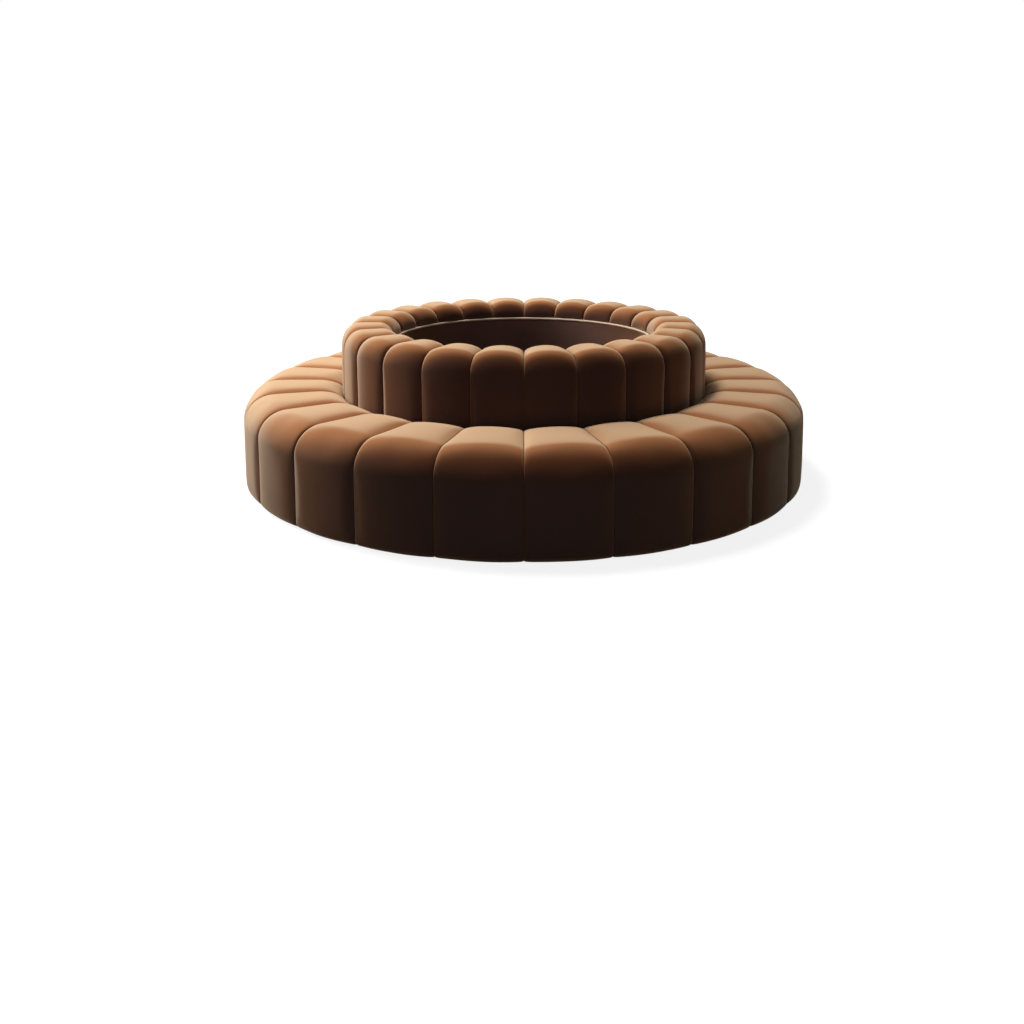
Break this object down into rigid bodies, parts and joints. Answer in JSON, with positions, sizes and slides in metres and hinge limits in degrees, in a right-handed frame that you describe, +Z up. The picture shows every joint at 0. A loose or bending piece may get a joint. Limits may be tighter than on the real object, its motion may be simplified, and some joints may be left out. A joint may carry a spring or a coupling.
{
  "type": "round sofa",
  "caption": "Round sofa with an outward-facing channel-tufted velvet seat ring, a higher tufted back ring inside it and an open round well in the middle.",
  "frame": {"origin": "on the floor, at the middle of the round well", "axes": "+Z up along the sofa's axis; -Y towards the viewer of the picture; +X to the viewer's right"},
  "size_m": [2.4958, 2.4958, 0.6498],
  "materials": {
    "velvet": "brown cut-pile velvet with a pale sheen",
    "lining_velvet": "plain brown velvet",
    "plywood": "sanded birch plywood",
    "bent_plywood": "thin bending plywood",
    "dust_cloth": "black non-woven cloth",
    "glide_plastic": "moulded plastic",
    "bolt_steel": "zinc plated steel"
  },
  "bodies": {
    "root": {"front_left_frame": "plywood", "front_left_seat_deck": "plywood", "front_left_top_rail": "plywood", "front_left_seat_front_board": "bent_plywood", "front_left_back_board": "bent_plywood", "front_left_well_board": "bent_plywood", "front_left_seat_cushion": "velvet", "front_left_back_cushion": "velvet", "front_left_well_lining": "lining_velvet", "front_left_dust_cover": "dust_cloth", "front_left_outer_glide_a": "glide_plastic", "front_left_outer_glide_b": "glide_plastic", "front_left_inner_glide": "glide_plastic", "front_right_frame": "plywood", "front_right_seat_deck": "plywood", "front_right_top_rail": "plywood", "front_right_seat_front_board": "bent_plywood", "front_right_back_board": "bent_plywood", "front_right_well_board": "bent_plywood", "front_right_seat_cushion": "velvet", "front_right_back_cushion": "velvet", "front_right_well_lining": "lining_velvet", "front_right_dust_cover": "dust_cloth", "front_right_outer_glide_a": "glide_plastic", "front_right_outer_glide_b": "glide_plastic", "front_right_inner_glide": "glide_plastic", "rear_left_frame": "plywood", "rear_left_seat_deck": "plywood", "rear_left_top_rail": "plywood", "rear_left_seat_front_board": "bent_plywood", "rear_left_back_board": "bent_plywood", "rear_left_well_board": "bent_plywood", "rear_left_seat_cushion": "velvet", "rear_left_back_cushion": "velvet", "rear_left_well_lining": "lining_velvet", "rear_left_dust_cover": "dust_cloth", "rear_left_outer_glide_a": "glide_plastic", "rear_left_outer_glide_b": "glide_plastic", "rear_left_inner_glide": "glide_plastic", "rear_right_frame": "plywood", "rear_right_seat_deck": "plywood", "rear_right_top_rail": "plywood", "rear_right_seat_front_board": "bent_plywood", "rear_right_back_board": "bent_plywood", "rear_right_well_board": "bent_plywood", "rear_right_seat_cushion": "velvet", "rear_right_back_cushion": "velvet", "rear_right_well_lining": "lining_velvet", "rear_right_dust_cover": "dust_cloth", "rear_right_outer_glide_a": "glide_plastic", "rear_right_outer_glide_b": "glide_plastic", "rear_right_inner_glide": "glide_plastic", "front_seat_bolt": "bolt_steel", "front_back_bolt": "bolt_steel", "right_seat_bolt": "bolt_steel", "right_back_bolt": "bolt_steel", "rear_seat_bolt": "bolt_steel", "rear_back_bolt": "bolt_steel", "left_seat_bolt": "bolt_steel", "left_back_bolt": "bolt_steel"}
  },
  "joints": []
}
